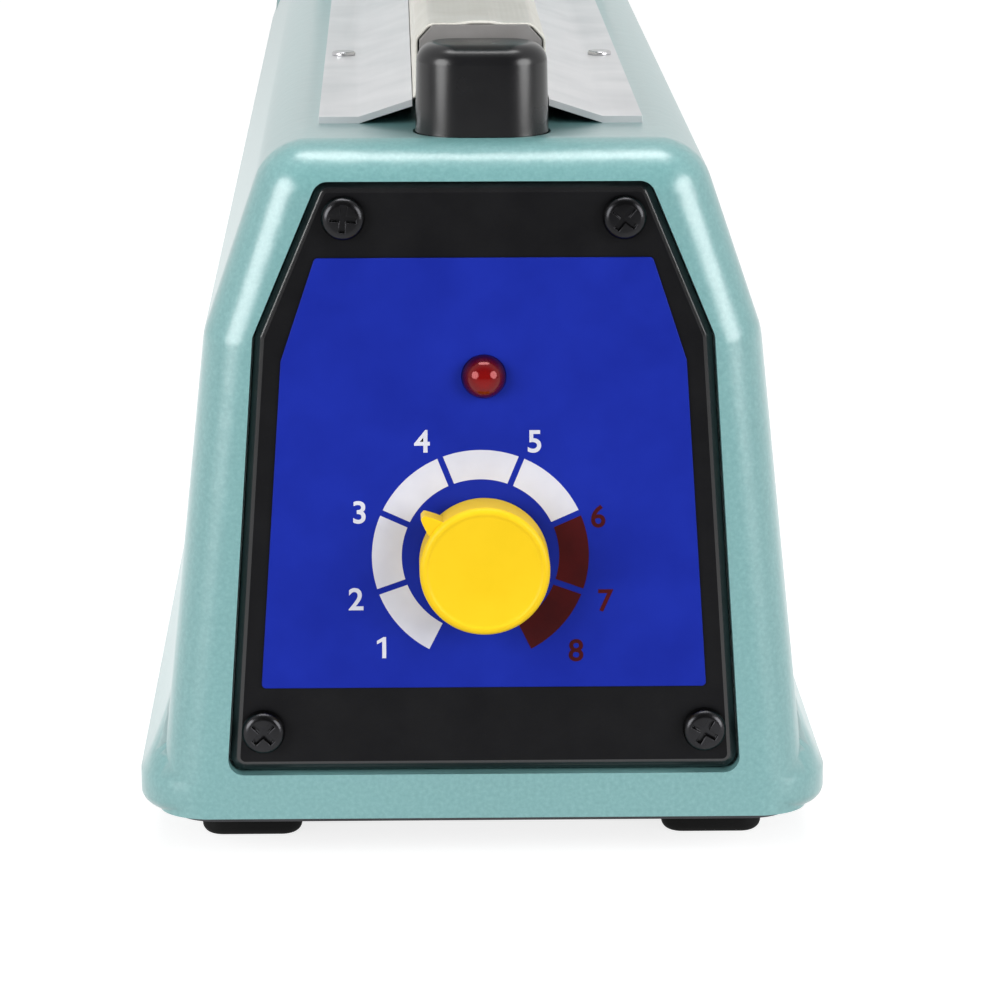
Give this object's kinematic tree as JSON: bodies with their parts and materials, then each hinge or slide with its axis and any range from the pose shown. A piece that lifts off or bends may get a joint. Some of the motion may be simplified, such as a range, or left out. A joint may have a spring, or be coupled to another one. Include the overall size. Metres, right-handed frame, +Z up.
{
  "type": "impulse heat sealer",
  "caption": "Hand impulse bag sealer: long painted metal body with a timer panel in front, a heated bar on top and a sprung pressing arm hinged at the rear.",
  "frame": {"origin": "under the middle of the object, on the surface that its feet stand on", "axes": "+Z up, +Y along the body from the control panel to the hinge, +X to the right seen from the panel"},
  "size_m": [0.08, 0.3304, 0.1696],
  "materials": {
    "teal_paint": "glossy fine-textured blue-green paint on metal",
    "plated_steel": "bright zinc plating",
    "base_sheet": "blackened sheet steel",
    "black_plastic": "moulded black plastic, satin",
    "black_screw": "black oxide, cross recess",
    "gloss_black": "polished black plastic",
    "blue_label": "printed blue film with a plain numbered dial",
    "red_lens": "dark red lens",
    "yellow_plastic": "moulded yellow plastic",
    "rubber": "black rubber",
    "silicone": "pale silicone rubber",
    "circuit_board": "green laminate",
    "can_aluminium": "plain aluminium",
    "insulating_bar": "beige heat-resisting laminate",
    "brass": "bare brass",
    "heating_alloy": "flat resistance wire",
    "ptfe_cloth": "cream non-stick glass cloth",
    "bright_plate": "bright plated sheet",
    "core_steel": "varnished laminations",
    "coil_wrap": "taped copper winding",
    "white_plastic": "white plastic"
  },
  "bodies": {
    "base": {"body_casting": "teal_paint", "base_plate": "base_sheet", "base_screws": "plated_steel", "rubber_feet": "rubber", "feet_screws": "plated_steel", "front_bezel": "black_plastic", "panel_label": "blue_label", "panel_screws": "black_screw", "indicator_lamp": "red_lens", "potentiometer": "plated_steel", "pot_nut": "plated_steel", "timer_board": "circuit_board", "board_screws": "plated_steel", "timer_relay": "gloss_black", "timing_capacitor": "can_aluminium", "switch_bracket": "plated_steel", "microswitch": "black_plastic", "button_spring": "plated_steel", "sealing_bar": "insulating_bar", "front_electrode": "brass", "rear_electrode": "brass", "heating_wire": "heating_alloy", "ptfe_cloth": "ptfe_cloth", "left_deck_plate": "bright_plate", "right_deck_plate": "bright_plate", "deck_screws": "plated_steel", "hinge_pin": "plated_steel", "pin_clips": "plated_steel", "lift_spring": "plated_steel", "transformer_core": "core_steel", "transformer_coil": "coil_wrap", "transformer_strap": "plated_steel", "transformer_screws": "plated_steel", "terminal_block": "black_plastic", "terminal_screws": "plated_steel", "cord_gland": "gloss_black", "gland_nut": "gloss_black"},
    "arm": {"press_arm": "teal_paint", "striker_screw": "plated_steel", "striker_nut": "plated_steel", "hinge_bushes": "brass", "strip_holder": "can_aluminium", "silicone_strip": "silicone", "arm_grip": "black_plastic", "grip_screws": "plated_steel"},
    "knob": {"timer_knob": "yellow_plastic", "pot_shaft": "plated_steel"},
    "button": {"switch_button": "gloss_black", "switch_plunger": "white_plastic"}
  },
  "joints": [
    {"name": "arm_hinge", "type": "hinge", "parent": "base", "child": "arm", "pos_m": [0, 0.1455, 0.0964], "axis": [1, 0, 0], "range_deg": [0, 10], "stiffness_Nm_per_rad": 1, "springref_deg": -91.67, "deforming": ["lift_spring"]},
    {"name": "timer_knob_turn", "type": "hinge", "parent": "base", "child": "knob", "pos_m": [0, -0.159, 0.0359], "axis": [0, -1, 0], "range_deg": [-200, 102]},
    {"name": "switch_button_slide", "type": "slide", "parent": "base", "child": "button", "axis": [0, 0, -1], "range_m": [0, 0.003], "deforming": ["button_spring"]}
  ],
  "couplings": [
    {"joint": "switch_button_slide", "follows": "arm_hinge", "m_per_rad": 0.01718}
  ]
}
